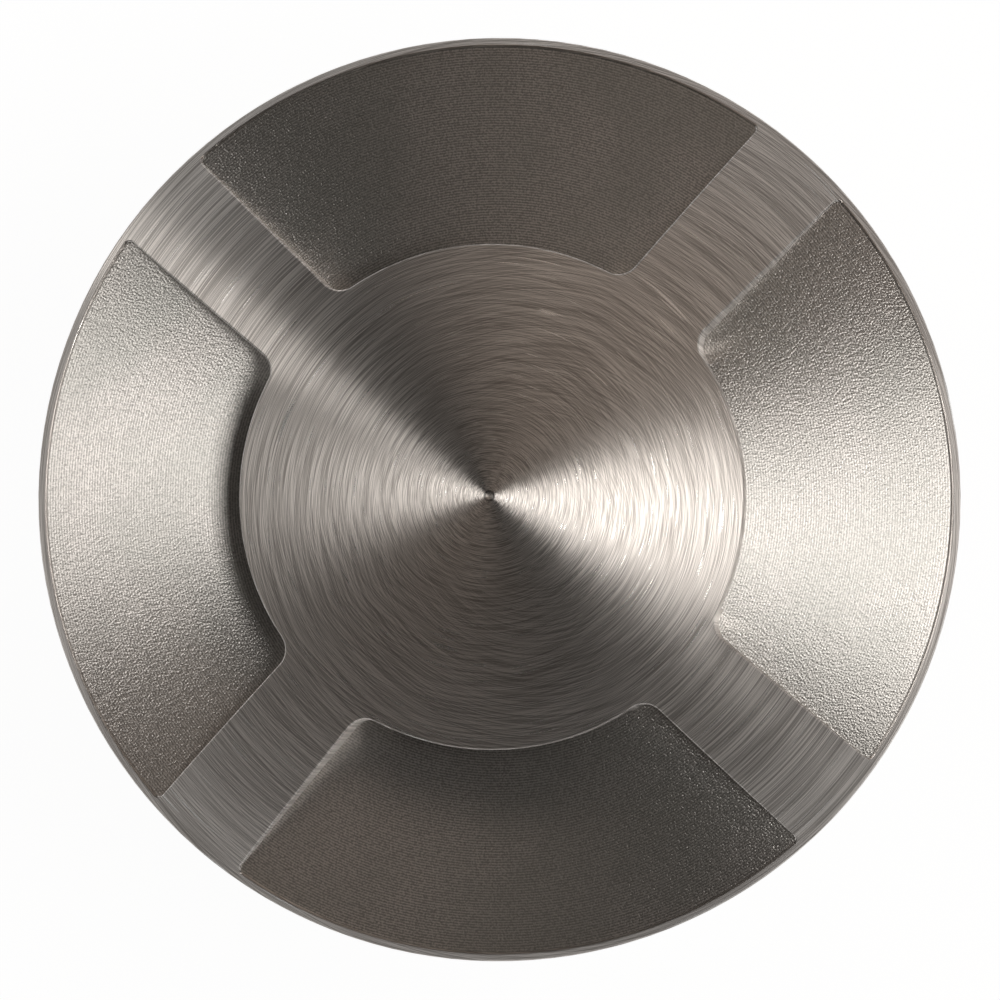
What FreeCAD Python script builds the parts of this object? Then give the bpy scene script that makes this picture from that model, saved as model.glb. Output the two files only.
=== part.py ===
import FreeCAD, Part

import math
import os
import re

import Sketcher

# An in ground well light: a sleeve set flush in the ground, a sealed light that drops into it,
# and a domed steel face whose four windows throw the light low across the ground.
# Lengths are in millimetres. Z = 0 is the ground, which the sleeve's flange rests on, and +Z is up.
# The windows are centred on X and Y, and the arms between them lie on the diagonals.

SIZES = {
    # Face cover, turned and milled from one piece of steel
    "face_diameter": 60.0,
    "rim_thickness": 1.1,
    "dome_rise": 9.6,
    "hub_brim": 2.2,
    "hub_thickness": 2.4,
    "land_width": 0.62,
    "window_count": 4,
    "window_floor_rise": 1.3,
    "window_inner_corner": 1.4,
    "window_outer_corner": 0.35,
    "arm_width_at_hub": 6.0,
    "arm_width_at_rim": 6.9,
    "plate_thickness": 2.5,
    "skirt_wall": 3.1,
    "skirt_length": 8.8,
    "skirt_clearance": 0.5,
    "edge_break": 0.12,
    "rim_edge_radius": 0.15,
    "skirt_chamfer": 0.5,
    "centre_mark_radius": 0.33,
    "centre_mark_depth": 0.16,
    # Three grub screws that lock the face on the neck
    "face_screw_count": 3,
    "grub_screw_diameter": 3.0,
    "grub_screw_length": 2.9,
    "grub_screw_lift": 2.5,
    "grub_socket_width": 1.5,
    "grub_socket_depth": 1.4,
    # Sleeve that stays in the ground, its base and its rim gasket
    "face_overhang": 3.0,
    "sleeve_wall": 2.2,
    "sleeve_depth": 78.0,
    "flange_inset": 1.0,
    "flange_thickness": 1.2,
    "flange_edge_radius": 0.3,
    "rim_gasket_thickness": 0.8,
    "rim_gasket_inset": 0.2,
    "rim_gasket_bore_margin": 0.4,
    "keying_groove_count": 3,
    "keying_groove_width": 4.0,
    "keying_groove_depth": 0.6,
    "keying_groove_pitch": 16.0,
    "keying_groove_drop": 14.0,
    "cable_notch_width": 9.0,
    "cable_notch_height": 12.0,
    "snap_count": 2,
    "snap_width": 5.0,
    "snap_height": 2.4,
    "snap_lift": 1.4,
    "snap_clearance": 0.15,
    "snap_proud": 1.6,
    "base_thickness": 3.0,
    "base_edge_radius": 0.8,
    "base_spigot_height": 5.0,
    "base_spigot_wall": 1.8,
    "base_spigot_clearance": 0.2,
    "base_cable_hole_diameter": 12.0,
    "drain_hole_count": 4,
    "drain_hole_diameter": 4.0,
    "drain_circle_radius": 16.0,
    # Housing
    "housing_length": 35.7,
    "housing_clearance": 1.2,
    "housing_wall": 4.7,
    "housing_edge_radius": 0.5,
    "neck_clearance": 0.15,
    "neck_wall": 2.65,
    "neck_top_gap": 0.3,
    "shoulder_gap": 0.3,
    "web_thickness": 3.3,
    "cooling_groove_count": 6,
    "cooling_groove_width": 1.5,
    "cooling_groove_depth": 1.6,
    "cooling_groove_pitch": 3.0,
    # O-rings and their grooves
    "o_ring_clearance": 0.1,
    "o_ring_seat_clearance": 0.05,
    "groove_side_clearance": 0.2,
    "face_ring_section": 1.5,
    "face_ring_drop": 2.7,
    "grip_ring_section": 2.4,
    "upper_grip_drop": 5.7,
    "lower_grip_lift": 6.0,
    "cap_ring_section": 1.5,
    # Lens, its gasket and ring, and the cone that turns the light sideways
    "lens_flange_thickness": 2.2,
    "lens_flange_width": 4.1,
    "lens_flange_clearance": 0.2,
    "lens_wall": 2.0,
    "lens_roof": 1.8,
    "lens_top_gap": 0.25,
    "lens_bore_clearance": 0.3,
    "lens_edge_radius": 0.6,
    "lens_gasket_thickness": 1.0,
    "lens_gasket_width": 3.6,
    "lens_ring_thickness": 2.0,
    "lens_ring_clearance": 0.1,
    "spanner_slot_count": 4,
    "spanner_slot_width": 2.4,
    "spanner_slot_depth": 0.9,
    "cone_margin": 3.1,
    "cone_tip_gap": 2.6,
    # Carrier and LED
    "carrier_thickness": 4.0,
    "carrier_clearance": 0.2,
    "carrier_head_margin": 0.3,
    "thermal_pad_thickness": 0.3,
    "led_board_inset": 4.6,
    "led_board_thickness": 1.6,
    "led_board_notch_diameter": 3.2,
    "led_board_notch_inset": 0.6,
    "led_base_width": 3.5,
    "led_base_height": 0.7,
    "led_dome_diameter": 2.6,
    # Small M2 screws, shared by the carrier, both boards and the end cap
    "small_screw_diameter": 2.0,
    "small_screw_clearance": 0.1,
    "small_head_diameter": 3.7,
    "small_head_height": 1.3,
    "small_head_clearance": 0.1,
    "small_socket_width": 1.3,
    "small_socket_depth": 0.7,
    "carrier_screw_bite": 2.4,
    "led_screw_bite": 2.5,
    "driver_screw_bite": 3.4,
    "cap_screw_bite": 5.0,
    "tapped_hole_spare": 0.4,
    # Driver
    "standoff_width": 4.0,
    "standoff_length": 10.4,
    "standoff_stud_length": 3.0,
    "standoff_margin": 2.5,
    "driver_board_thickness": 1.6,
    "driver_board_margin": 2.0,
    "inductor_width": 7.0,
    "inductor_height": 4.0,
    "inductor_corner_radius": 1.0,
    "capacitor_diameter": 6.3,
    "capacitor_height": 11.0,
    "capacitor_spacing": 7.0,
    "capacitor_inset": 6.6,
    "chip_width": 4.9,
    "chip_depth": 3.9,
    "chip_height": 1.6,
    "chip_spacing": 7.0,
    "resistor_length": 2.0,
    "resistor_width": 1.2,
    "resistor_height": 0.6,
    "resistor_spacing": 2.4,
    "terminal_width": 10.0,
    "terminal_depth": 7.6,
    "terminal_height": 9.0,
    "terminal_inset": 7.4,
    "terminal_pitch": 5.0,
    "terminal_entry_diameter": 2.6,
    "terminal_screw_diameter": 2.8,
    "terminal_screw_height": 2.0,
    "terminal_slot_width": 0.6,
    "terminal_slot_depth": 0.7,
    "lead_diameter": 1.2,
    "lead_spacing": 3.2,
    "lead_board_gap": 2.5,
    "lead_lap": 2.5,
    "lead_bend_radius": 2.2,
    "lead_hole_clearance": 0.3,
    # End cap
    "cap_thickness": 4.0,
    "cap_edge_radius": 0.3,
    "cap_spigot_length": 4.0,
    "cap_spigot_clearance": 0.2,
    "cap_spigot_wall": 3.8,
    "cap_ring_lift": 2.0,
    "cap_head_cover": 0.3,
    # Cable gland
    "gland_thread_diameter": 12.5,
    "gland_hole_clearance": 0.1,
    "gland_thread_spare": 0.6,
    "gland_bore_diameter": 6.8,
    "gland_width": 15.0,
    "gland_washer_thickness": 1.2,
    "gland_washer_inset": 0.16,
    "gland_collar_height": 5.0,
    "gland_barrel_diameter": 11.2,
    "gland_barrel_length": 6.8,
    "gland_mouth_depth": 4.2,
    "gland_mouth_wall": 0.7,
    "lock_nut_width": 16.0,
    "lock_nut_thickness": 3.0,
    "claw_clearance": 0.1,
    "claw_wall": 0.7,
    "claw_collar_height": 0.6,
    "claw_finger_length": 4.2,
    "claw_finger_count": 6,
    "claw_slot_width": 0.8,
    "seal_clearance": 0.1,
    "seal_cable_diameter": 6.4,
    "seal_end_inset": 0.8,
    "nut_thread_clearance": 0.1,
    "nut_top_gap": 0.3,
    "nut_end_gap": 0.3,
    "nut_end_thickness": 2.3,
    "nut_end_taper": 2.2,
    "nut_mouth_diameter": 7.8,
}

# Sizes that follow from the driving ones: radii (from the common axis) and levels (heights above ground).
DERIVED = {
    "face_radius": "face_diameter / 2",
    "rim_underside": "flange_thickness + rim_gasket_thickness",
    "rim_top": "rim_underside + rim_thickness",
    "dome_radius": "(face_radius ^ 2 + dome_rise ^ 2) / (2 * dome_rise)",
    "dome_centre": "rim_top + dome_rise - dome_radius",
    "centre_mark_edge": "dome_centre + sqrt(dome_radius ^ 2 - centre_mark_radius ^ 2)",
    "hub_radius": "lens_cup_radius + hub_brim",
    "hub_underside": "dome_centre + sqrt(dome_radius ^ 2 - hub_radius ^ 2) - hub_thickness",
    "window_floor": "rim_underside + window_floor_rise",
    "window_outer_radius": "face_radius - land_width",
    "brim_height": "dome_centre + sqrt(dome_radius ^ 2 - window_outer_radius ^ 2) - window_floor",
    "plate_underside": "window_floor - plate_thickness",
    "skirt_bottom": "plate_underside - skirt_length",
    "grub_screw_level": "skirt_bottom + grub_screw_lift",
    "sleeve_radius": "face_radius - face_overhang",
    "flange_radius": "face_radius - flange_inset",
    "sleeve_bore": "sleeve_radius - sleeve_wall",
    "skirt_outer": "sleeve_bore - skirt_clearance",
    "skirt_inner": "skirt_outer - skirt_wall",
    "neck_outer": "skirt_inner - neck_clearance",
    "neck_bore": "neck_outer - neck_wall",
    "neck_top": "plate_underside - neck_top_gap",
    "shoulder": "skirt_bottom - shoulder_gap",
    "housing_outer": "sleeve_bore - housing_clearance",
    "cavity": "housing_outer - housing_wall",
    "housing_bottom": "shoulder - housing_length",
    "lens_flange_top": "neck_top - lens_ring_thickness",
    "lens_flange_underside": "lens_flange_top - lens_flange_thickness",
    "web_top": "lens_flange_underside - lens_gasket_thickness",
    "web_underside": "web_top - web_thickness",
    "lens_flange_radius": "neck_bore - lens_flange_clearance",
    "lens_cup_radius": "lens_flange_radius - lens_flange_width",
    "lens_inner_radius": "lens_cup_radius - lens_wall",
    "lens_top": "hub_underside - lens_top_gap",
    "lens_ceiling": "lens_top - lens_roof",
    "lens_bore": "lens_cup_radius + lens_bore_clearance",
    "web_bore": "lens_flange_radius - lens_gasket_width",
    "face_ring_outer": "skirt_inner - o_ring_clearance",
    "face_ring_level": "neck_top - face_ring_drop",
    "grip_ring_outer": "sleeve_bore - o_ring_clearance",
    "upper_grip_level": "shoulder - upper_grip_drop",
    "lower_grip_level": "housing_bottom + lower_grip_lift",
    "cooling_span": "(cooling_groove_count - 1) * cooling_groove_pitch + cooling_groove_width",
    "cooling_top": "(upper_grip_level + lower_grip_level + cooling_span) / 2",
    "carrier_radius": "cavity - carrier_clearance",
    "carrier_underside": "web_underside - carrier_thickness",
    "carrier_screw_circle": "cavity - small_head_diameter / 2 - carrier_head_margin",
    "led_board_underside": "web_underside + thermal_pad_thickness",
    "led_board_top": "led_board_underside + led_board_thickness",
    "led_board_radius": "web_bore - led_board_inset",
    "led_notch_circle": "led_board_radius - led_board_notch_inset",
    "led_base_top": "led_board_top + led_base_height",
    "led_dome_top": "led_base_top + led_dome_diameter / 2",
    "cone_tip": "led_dome_top + cone_tip_gap",
    "cone_base_radius": "lens_inner_radius - cone_margin",
    "small_shank": "small_screw_diameter / 2",
    "small_hole": "small_shank + small_screw_clearance / 2",
    "small_head": "small_head_diameter / 2",
    "small_counterbore": "small_head + small_head_clearance",
    "driver_board_top": "carrier_underside - standoff_length",
    "driver_board_underside": "driver_board_top - driver_board_thickness",
    "driver_board_radius": "cavity - driver_board_margin",
    "standoff_circle": "driver_board_radius - standoff_margin",
    "capacitor_distance": "standoff_circle - capacitor_inset",
    "terminal_distance": "driver_board_radius - terminal_inset",
    "terminal_underside": "driver_board_underside - terminal_height",
    "lead_radius": "lead_diameter / 2",
    "lead_level": "led_board_top + lead_radius",
    "lead_distance": "led_board_radius + lead_board_gap",
    "lead_end_distance": "led_board_radius - lead_lap",
    "lead_hole": "lead_radius + lead_hole_clearance",
    "cap_underside": "housing_bottom - cap_thickness",
    "cap_spigot_top": "housing_bottom + cap_spigot_length",
    "cap_spigot_outer": "cavity - cap_spigot_clearance",
    "cap_spigot_inner": "cap_spigot_outer - cap_spigot_wall",
    "cap_ring_outer": "cavity - o_ring_seat_clearance",
    "cap_ring_level": "housing_bottom + cap_ring_lift",
    "cap_screw_circle": "(cavity + housing_outer) / 2",
    "cap_screw_head_level": "cap_underside + cap_head_cover",
    "gland_thread": "gland_thread_diameter / 2",
    "gland_hole": "gland_thread + gland_hole_clearance",
    "gland_bore": "gland_bore_diameter / 2",
    "washer_underside": "cap_underside - gland_washer_thickness",
    "collar_underside": "washer_underside - gland_collar_height",
    "barrel_end": "collar_underside - gland_barrel_length",
    "barrel": "gland_barrel_diameter / 2",
    "mouth": "barrel - gland_mouth_wall",
    "mouth_floor": "barrel_end + gland_mouth_depth",
    "lock_nut_top": "housing_bottom + lock_nut_thickness",
    "claw_outer": "mouth - claw_clearance",
    "claw_inner": "claw_outer - claw_wall",
    "claw_collar_underside": "barrel_end - claw_collar_height",
    "claw_end": "claw_collar_underside - claw_finger_length",
    "seal_outer": "claw_inner - seal_clearance",
    "seal_bore": "seal_cable_diameter / 2",
    "nut_bore": "barrel + nut_thread_clearance",
    "nut_top": "collar_underside - nut_top_gap",
    "nut_ceiling": "claw_end - nut_end_gap",
    "nut_end": "nut_ceiling - nut_end_thickness",
    "sleeve_bottom": "-sleeve_depth",
    "base_underside": "sleeve_bottom - base_thickness",
    "base_spigot_outer": "sleeve_bore - base_spigot_clearance",
    "base_spigot_inner": "base_spigot_outer - base_spigot_wall",
    "snap_underside": "sleeve_bottom + snap_lift",
}

TOUCH = 1e-4              # two places nearer than this are the same place
OVERCUT = "1"             # how far outside a surface its cuts start
SCREWS_IN_RING = "3"      # every ring of small screws has three
LED_BOARD_NOTCHES = "6"   # twice as many, so that every screw finds a notch
RESISTORS = 4
BRIM_SHARE = "0.55"       # how much of a window's lowest wall its broken edge may take

doc = FreeCAD.newDocument("WellLight")
sheet = doc.addObject("Spreadsheet::Sheet", "Sizes")
derived = doc.addObject("App::VarSet", "Derived")
sub_parts = []


# Sizes and expressions

def bound(text):
    """Point each name in an expression at the object that holds it."""
    def owner(found):
        word = found.group()
        if word in SIZES:
            return f"Sizes.{word}"
        if word in DERIVED:
            return f"Derived.{word}"
        return word
    return re.sub(r"[a-z_]+", owner, text)


def number(text):
    """The value of an expression now."""
    return float(sheet.evalExpression(bound(text)))


def fill_sizes():
    for row, (alias, value) in enumerate(SIZES.items(), 1):
        sheet.set(f"A{row}", alias)
        sheet.set(f"B{row}", str(value))
        sheet.setAlias(f"B{row}", alias)
    doc.recompute()
    for name, text in DERIVED.items():
        derived.addProperty("App::PropertyFloat", name, "Derived")
        derived.setExpression(name, bound(text))
        doc.recompute()


# Bodies and sketches

def new_body(label):
    body = doc.addObject("PartDesign::Body", label)
    body.Label = label
    sub_parts.append(body)
    return body


def origin_feature(body, role):
    return next(feature for feature in body.Origin.OriginFeatures if feature.Role == role)


def new_sketch(body, name, role="XZ_Plane", lift="0"):
    """A sketch on one of the body's own origin planes, lifted along the plane's normal."""
    sketch = body.newObject("Sketcher::SketchObject", name)
    sketch.AttachmentSupport = [(origin_feature(body, role), "")]
    sketch.MapMode = "FlatFace"
    sketch.setExpression("AttachmentOffset.Base.z", bound(lift))
    return sketch


def bind(sketch, kind, arguments, name, text):
    """Add a dimension to a sketch and bind it to an expression."""
    index = sketch.addConstraint(Sketcher.Constraint(kind, *arguments, number(text)))
    sketch.renameConstraint(index, name)
    sketch.setExpression(f"Constraints.{name}", bound(text))


def place_point(sketch, item, end, x_text, y_text):
    """Bind one point of a sketched item to a place."""
    bind(sketch, "DistanceX", (-1, 1, item, end), f"across{item}_{end}", x_text)
    bind(sketch, "DistanceY", (-1, 1, item, end), f"up{item}_{end}", y_text)


def arc_between(start, end, centre, clockwise):
    """The arc from start to end round centre."""
    first, last = (end, start) if clockwise else (start, end)
    first_angle = math.atan2(first.y - centre.y, first.x - centre.x)
    last_angle = math.atan2(last.y - centre.y, last.x - centre.x)
    circle = Part.Circle(centre, FreeCAD.Vector(0, 0, 1), start.distanceToPoint(centre))
    return Part.ArcOfCircle(circle, first_angle, last_angle)


def outline(sketch, points, arcs=None):
    """A closed outline through points, each a pair of expressions.

    arcs gives, for the side that leaves a point, the arc's centre and whether it runs clockwise.
    """
    arcs = arcs or {}
    places = [FreeCAD.Vector(number(x), number(y), 0) for x, y in points]
    first = sketch.GeometryCount
    for side, (x_text, y_text) in enumerate(points):
        start = places[side]
        end = places[(side + 1) % len(places)]
        item = first + side
        start_end = 1
        if side in arcs:
            centre_x, centre_y, clockwise = arcs[side]
            centre = FreeCAD.Vector(number(centre_x), number(centre_y), 0)
            sketch.addGeometry(arc_between(start, end, centre, clockwise), False)
            if abs(end.y - start.y) > abs(end.x - start.x):
                bind(sketch, "DistanceX", (-1, 1, item, 3), f"centre{item}", centre_x)
            else:
                bind(sketch, "DistanceY", (-1, 1, item, 3), f"centre{item}", centre_y)
            start_end = 2 if clockwise else 1
        else:
            sketch.addGeometry(Part.LineSegment(start, end), False)
        place_point(sketch, item, start_end, x_text, y_text)
    for side in range(len(points)):
        following = (side + 1) % len(points)
        leaving = 1 if side in arcs and arcs[side][2] else 2
        arriving = 2 if following in arcs and arcs[following][2] else 1
        joint = Sketcher.Constraint("Coincident", first + side, leaving, first + following, arriving)
        sketch.addConstraint(joint)


def rectangle(sketch, x_low, x_high, y_low, y_high):
    outline(sketch, [(x_low, y_low), (x_high, y_low), (x_high, y_high), (x_low, y_high)])


def hexagon(sketch, width, x_centre="0"):
    """A hexagon with two flats square to the sketch's Y."""
    corner = f"{width} / sqrt(3)"
    outline(sketch, [
        (f"{x_centre} + {corner}", "0"),
        (f"{x_centre} + {corner} / 2", f"{width} / 2"),
        (f"{x_centre} - {corner} / 2", f"{width} / 2"),
        (f"{x_centre} - {corner}", "0"),
        (f"{x_centre} - {corner} / 2", f"-{width} / 2"),
        (f"{x_centre} + {corner} / 2", f"-{width} / 2"),
    ])


def circle(sketch, radius, x_text="0", y_text="0"):
    item = sketch.GeometryCount
    centre = FreeCAD.Vector(number(x_text), number(y_text), 0)
    sketch.addGeometry(Part.Circle(centre, FreeCAD.Vector(0, 0, 1), number(radius)), False)
    place_point(sketch, item, 3, x_text, y_text)
    bind(sketch, "Radius", (item,), f"radius{item}", radius)


def sector(sketch, inner, outer, inner_offset, outer_offset):
    """A window between two arms, centred on X: the offsets are half the arm's width at each radius."""
    half_turn = "180 deg / window_count"
    corners = []
    for radius, offset in ((inner, inner_offset), (outer, outer_offset)):
        along = f"sqrt(({radius}) ^ 2 - ({offset}) ^ 2)"
        across = f"{along} * cos({half_turn}) + ({offset}) * sin({half_turn})"
        up = f"{along} * sin({half_turn}) - ({offset}) * cos({half_turn})"
        corners.append((across, up))
    (inner_x, inner_y), (outer_x, outer_y) = corners
    outline(sketch, [
        (inner_x, f"-({inner_y})"),
        (outer_x, f"-({outer_y})"),
        (outer_x, outer_y),
        (inner_x, inner_y),
    ], arcs={1: ("0", "0", False), 3: ("0", "0", True)})


# Features

def revolve(body, sketch, kind="Revolution", axis="V_Axis"):
    feature = body.newObject(f"PartDesign::{kind}", kind)
    feature.Profile = sketch
    feature.ReferenceAxis = (sketch, [axis])
    feature.Angle = 360
    sketch.Visibility = False
    doc.recompute()
    return feature


def pad(body, sketch, length):
    feature = body.newObject("PartDesign::Pad", "Pad")
    feature.Profile = sketch
    feature.setExpression("Length", bound(length))
    doc.recompute()
    return feature


def pocket(body, sketch, length, upward=False, both_ways=False):
    """A cut that follows the sketch's normal backwards, or forwards where it goes upward."""
    before = body.Shape.Volume
    feature = body.newObject("PartDesign::Pocket", "Pocket")
    feature.Profile = sketch
    feature.setExpression("Length", bound(length))
    feature.Reversed = upward
    feature.Midplane = both_ways
    doc.recompute()
    if not feature.Shape.Volume < before - TOUCH:
        raise RuntimeError(f"{body.Label}: {feature.Name} cuts nothing")
    return feature


def polar(body, features, count):
    """Repeat features evenly round the common axis."""
    pattern = body.newObject("PartDesign::PolarPattern", "PolarPattern")
    pattern.Originals = features
    pattern.Axis = (origin_feature(body, "Z_Axis"), [""])
    pattern.Angle = 360
    pattern.setExpression("Occurrences", bound(count))
    body.Tip = pattern
    doc.recompute()
    return pattern


def linear(body, features, pitch, count):
    """Repeat features downwards at an even pitch."""
    pattern = body.newObject("PartDesign::LinearPattern", "LinearPattern")
    pattern.Originals = features
    pattern.Direction = (origin_feature(body, "Z_Axis"), [""])
    pattern.Reversed = True
    pattern.setExpression("Length", bound(f"({pitch}) * ({count} - 1)"))
    pattern.setExpression("Occurrences", bound(count))
    body.Tip = pattern
    doc.recompute()
    return pattern


def round_edges(body, chosen, radius):
    """Fillet the edges of the body that chosen picks."""
    base = body.Tip
    names = [f"Edge{index}" for index, edge in enumerate(base.Shape.Edges, 1) if chosen(edge)]
    if not names:
        raise RuntimeError(f"{body.Label}: no edge to round")
    fillet = body.newObject("PartDesign::Fillet", "Fillet")
    fillet.Base = (base, names)
    fillet.setExpression("Radius", bound(radius))
    doc.recompute()
    return fillet


def from_axis(point):
    return math.hypot(point.x, point.y)


def upright_edge_at(radius_text):
    """Picks the straight vertical edges that stand at this radius."""
    radius = number(radius_text)

    def chosen(edge):
        start = edge.firstVertex().Point
        end = edge.lastVertex().Point
        upright = math.hypot(end.x - start.x, end.y - start.y) < TOUCH < abs(end.z - start.z)
        return upright and abs(from_axis(start) - radius) < TOUCH
    return chosen


def ring_edge_at(radius_text, level_text):
    """Picks the circular edges of this radius at this level."""
    radius = number(radius_text)
    level = number(level_text)

    def chosen(edge):
        middle = edge.valueAt((edge.FirstParameter + edge.LastParameter) / 2)
        ends = (edge.firstVertex().Point, edge.lastVertex().Point, middle)
        return all(abs(from_axis(p) - radius) < TOUCH and abs(p.z - level) < TOUCH for p in ends)
    return chosen


def dome_edge_inside(radius_text):
    """Picks the edges that lie on the dome within this radius, apart from the centre mark's."""
    limit = number(radius_text)
    mark = number("centre_mark_radius")
    centre = FreeCAD.Vector(0, 0, number("dome_centre"))
    dome = number("dome_radius")

    def chosen(edge):
        middle = edge.valueAt((edge.FirstParameter + edge.LastParameter) / 2)
        places = (edge.firstVertex().Point, edge.lastVertex().Point, middle)
        on_dome = all(abs(p.distanceToPoint(centre) - dome) < TOUCH for p in places)
        return on_dome and mark + TOUCH < from_axis(middle) < limit - TOUCH
    return chosen


# Repeated forms

def turned(label, points):
    """A body turned from one outline of radii and levels."""
    body = new_body(label)
    sketch = new_sketch(body, "Section")
    outline(sketch, points)
    revolve(body, sketch)
    return body


def ring(label, inner, outer, low, high):
    """A flat ring or disc."""
    return turned(label, [(inner, low), (outer, low), (outer, high), (inner, high)])


def o_ring(label, outer, section, level):
    body = new_body(label)
    sketch = new_sketch(body, "Section")
    circle(sketch, f"{section} / 2", f"{outer} - {section} / 2", level)
    revolve(body, sketch)
    return body


def ring_groove(body, outer, floor, low, high):
    """A groove cut round the outside, from beyond the surface down to its floor."""
    sketch = new_sketch(body, "GrooveSection")
    rectangle(sketch, floor, f"{outer} + {OVERCUT}", low, high)
    return revolve(body, sketch, "Groove")


def o_ring_groove(body, surface, ring_outer, section, level):
    floor = f"{ring_outer} - {section} - o_ring_seat_clearance"
    half_width = f"({section} + groove_side_clearance) / 2"
    return ring_groove(body, surface, floor, f"{level} - {half_width}", f"{level} + {half_width}")


def round_holes(body, radius, circle_x, start, length, count, upward=False):
    """Round holes on a circle, cut from the start level."""
    sketch = new_sketch(body, "Holes", "XY_Plane", start)
    circle(sketch, radius, circle_x)
    return polar(body, [pocket(body, sketch, length, upward)], count)


def small_screws(label, circle_x, head_level, bite, head_below=True):
    """A ring of cap screws: the head bears at head_level, and the shank goes on by bite."""
    body = new_body(label)
    turn = "1" if head_below else "-1"
    bearing = f"({head_level})"
    head_end = f"({bearing} - {turn} * small_head_height)"
    tip = f"({bearing} + {turn} * ({bite}))"
    head_sketch = new_sketch(body, "Head", "XY_Plane", head_end if head_below else bearing)
    circle(head_sketch, "small_head", circle_x)
    head = pad(body, head_sketch, "small_head_height")
    shank_sketch = new_sketch(body, "Shank", "XY_Plane", bearing if head_below else tip)
    circle(shank_sketch, "small_shank", circle_x)
    shank = pad(body, shank_sketch, bite)
    socket_sketch = new_sketch(body, "Socket", "XY_Plane", head_end)
    hexagon(socket_sketch, "small_socket_width", circle_x)
    socket = pocket(body, socket_sketch, "small_socket_depth", upward=head_below)
    polar(body, [head, shank, socket], SCREWS_IN_RING)
    return body


# Face cover

def face_cover():
    """A low spherical dome over a flat plate, with a skirt that slides over the housing's neck."""
    body = new_body("face_cover")
    section = new_sketch(body, "Section")
    outline(section, [
        ("0", "hub_underside"),
        ("lens_bore", "hub_underside"),
        ("lens_bore", "plate_underside"),
        ("skirt_inner", "plate_underside"),
        ("skirt_inner", "skirt_bottom + skirt_chamfer"),
        ("skirt_inner + skirt_chamfer", "skirt_bottom"),
        ("skirt_outer", "skirt_bottom"),
        ("skirt_outer", "rim_underside"),
        ("face_radius", "rim_underside"),
        ("face_radius", "rim_top"),
        ("centre_mark_radius", "centre_mark_edge"),
        ("0", "centre_mark_edge - centre_mark_depth"),
    ], arcs={9: ("0", "dome_centre", False)})
    revolve(body, section)

    # Four windows, milled down to a flat floor
    windows = new_sketch(body, "Window", "XY_Plane", "window_floor")
    sector(windows, "hub_radius", "window_outer_radius", "arm_width_at_hub / 2", "arm_width_at_rim / 2")
    window = pocket(body, windows, "rim_thickness + dome_rise", upward=True)
    polar(body, [window], "window_count")
    round_edges(body, upright_edge_at("hub_radius"), "window_inner_corner")
    round_edges(body, upright_edge_at("window_outer_radius"), "window_outer_corner")

    # Below the hub each window runs on inwards to the lens, between the arms' broader feet
    ports = new_sketch(body, "Port", "XY_Plane", "window_floor")
    foot = "(arm_width_at_hub / 2 + window_inner_corner)"
    sector(ports, "lens_inner_radius", "hub_radius + window_inner_corner", foot, foot)
    port = pocket(body, ports, "hub_underside - window_floor", upward=True)
    polar(body, [port], "window_count")

    # Tapped holes for the grub screws
    holes = new_sketch(body, "GrubHole", "YZ_Plane", f"skirt_outer + {OVERCUT}")
    circle(holes, "grub_screw_diameter / 2 + small_screw_clearance / 2", "0", "grub_screw_level")
    hole = pocket(body, holes, f"skirt_wall + 2 * {OVERCUT}")
    polar(body, [hole], "face_screw_count")

    # Edges: the windows' brims and the rim are only just broken
    round_edges(body, dome_edge_inside("face_radius"), f"min(edge_break; {BRIM_SHARE} * brim_height)")
    for level in ("rim_underside", "rim_top"):
        round_edges(body, ring_edge_at("face_radius", level), "rim_edge_radius")
    return body


def face_grub_screws():
    """Socket grub screws, flush inside the skirt, so that the face still slides."""
    body = new_body("face_grub_screws")
    blank = new_sketch(body, "Blank", "YZ_Plane", "skirt_inner")
    circle(blank, "grub_screw_diameter / 2", "0", "grub_screw_level")
    screw = pad(body, blank, "grub_screw_length")
    socket = new_sketch(body, "Socket", "YZ_Plane", "skirt_inner + grub_screw_length")
    half = "grub_socket_width / 2"
    corner = "grub_socket_width / sqrt(3)"
    outline(socket, [
        (corner, "grub_screw_level"),
        (f"{corner} / 2", f"grub_screw_level + {half}"),
        (f"-{corner} / 2", f"grub_screw_level + {half}"),
        (f"-{corner}", "grub_screw_level"),
        (f"-{corner} / 2", f"grub_screw_level - {half}"),
        (f"{corner} / 2", f"grub_screw_level - {half}"),
    ])
    recess = pocket(body, socket, "grub_socket_depth")
    polar(body, [screw, recess], "face_screw_count")
    return body


# Sleeve

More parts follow.
